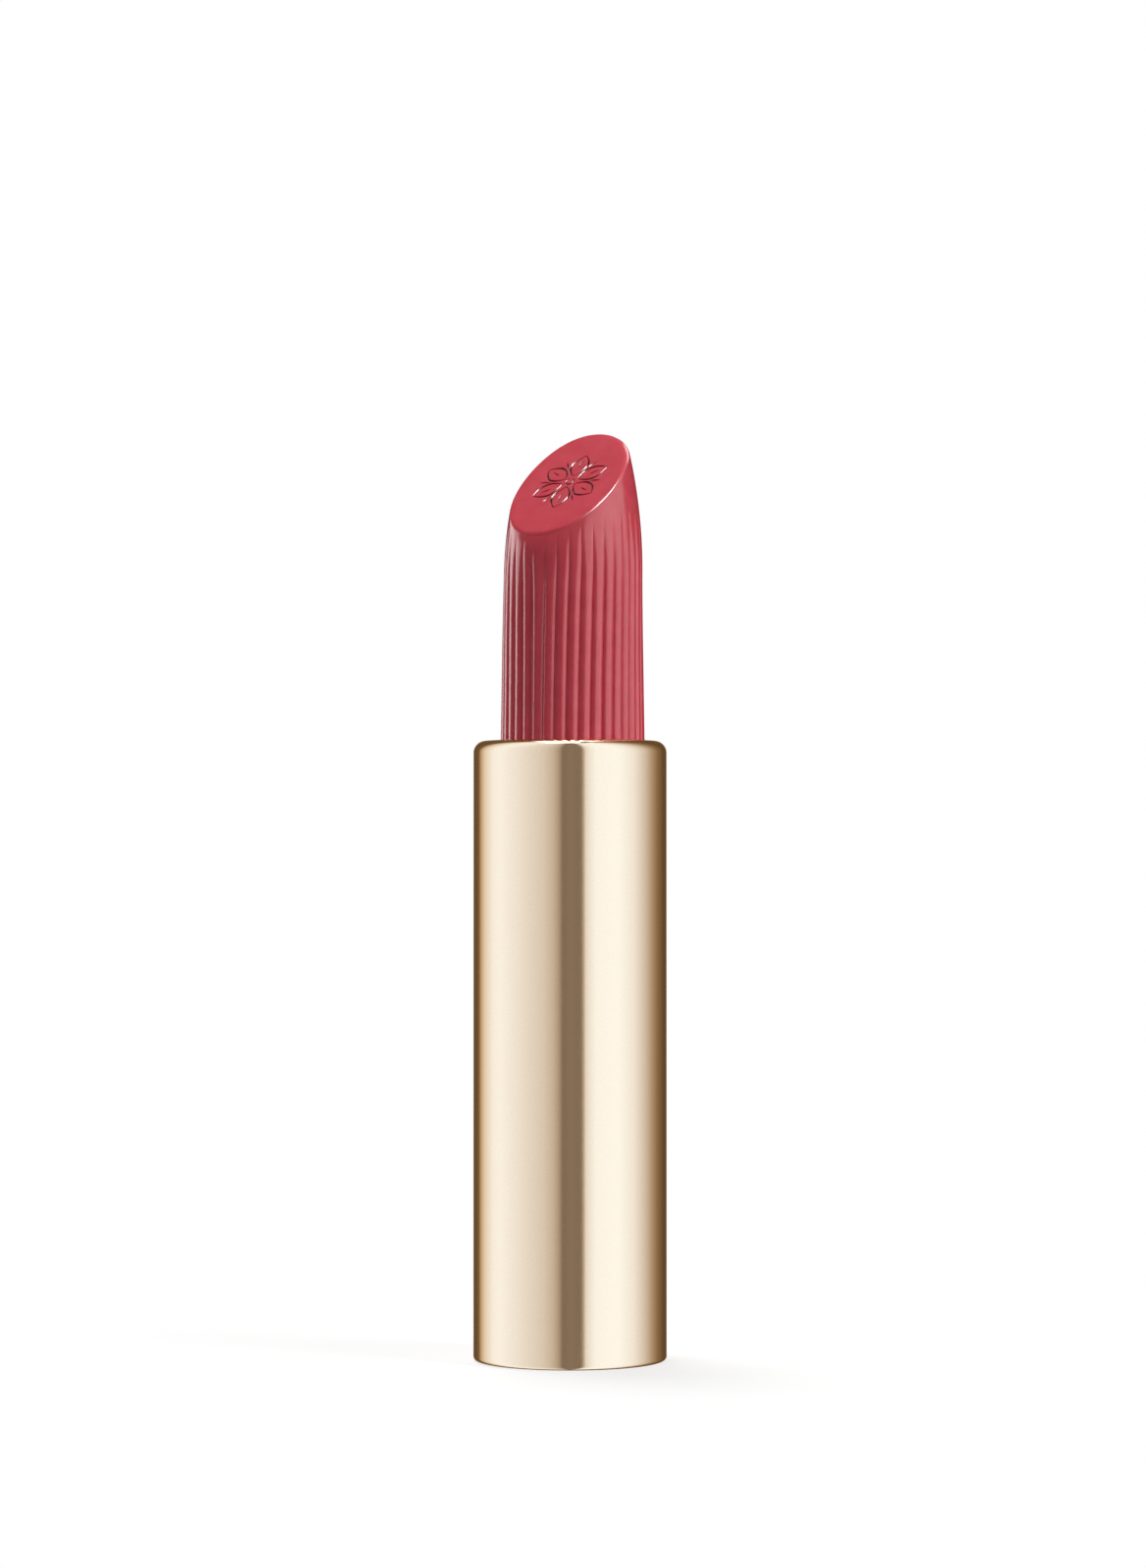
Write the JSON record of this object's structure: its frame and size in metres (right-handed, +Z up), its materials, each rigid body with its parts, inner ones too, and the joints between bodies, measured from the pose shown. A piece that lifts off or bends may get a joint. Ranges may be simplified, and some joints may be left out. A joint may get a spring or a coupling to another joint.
{
  "type": "lipstick refill",
  "caption": "Twist-up lipstick refill: a reeded, slant-cut bullet in a slim gold metal tube, wound up by a keyed foot.",
  "frame": {"origin": "centre of the tube's bottom edge, where it stands on a surface", "axes": "+Z up the tube towards the bullet's tip; -Y is the side that the slanted face looks towards, turned a third of the way to -X"},
  "size_m": [0.0164, 0.0164, 0.0783],
  "materials": {
    "gold_metal": "satin",
    "white_plastic": "satin",
    "grey_plastic": "satin",
    "black_rubber": "matte",
    "rose_wax": "satin"
  },
  "bodies": {
    "sleeve": {"outer_shell": "gold_metal", "bottom_bearing_ring": "white_plastic", "spiral_sleeve": "white_plastic"},
    "rotor": {"slotted_tube": "white_plastic", "drive_foot": "grey_plastic", "friction_o_ring": "black_rubber"},
    "carrier": {"bullet_cup": "white_plastic", "lipstick_bullet": "rose_wax"}
  },
  "joints": [
    {"name": "rotor_turn", "type": "hinge", "parent": "sleeve", "child": "rotor", "pos_m": [0, 0, 0], "axis": [0, 0, 1], "range_deg": [-540, 0]},
    {"name": "cup_slide", "type": "slide", "parent": "rotor", "child": "carrier", "axis": [0, 0, 1], "range_m": [-0.0268, 0]}
  ],
  "couplings": [
    {"joint": "cup_slide", "follows": "rotor_turn", "m_per_rad": 0.0028436}
  ]
}
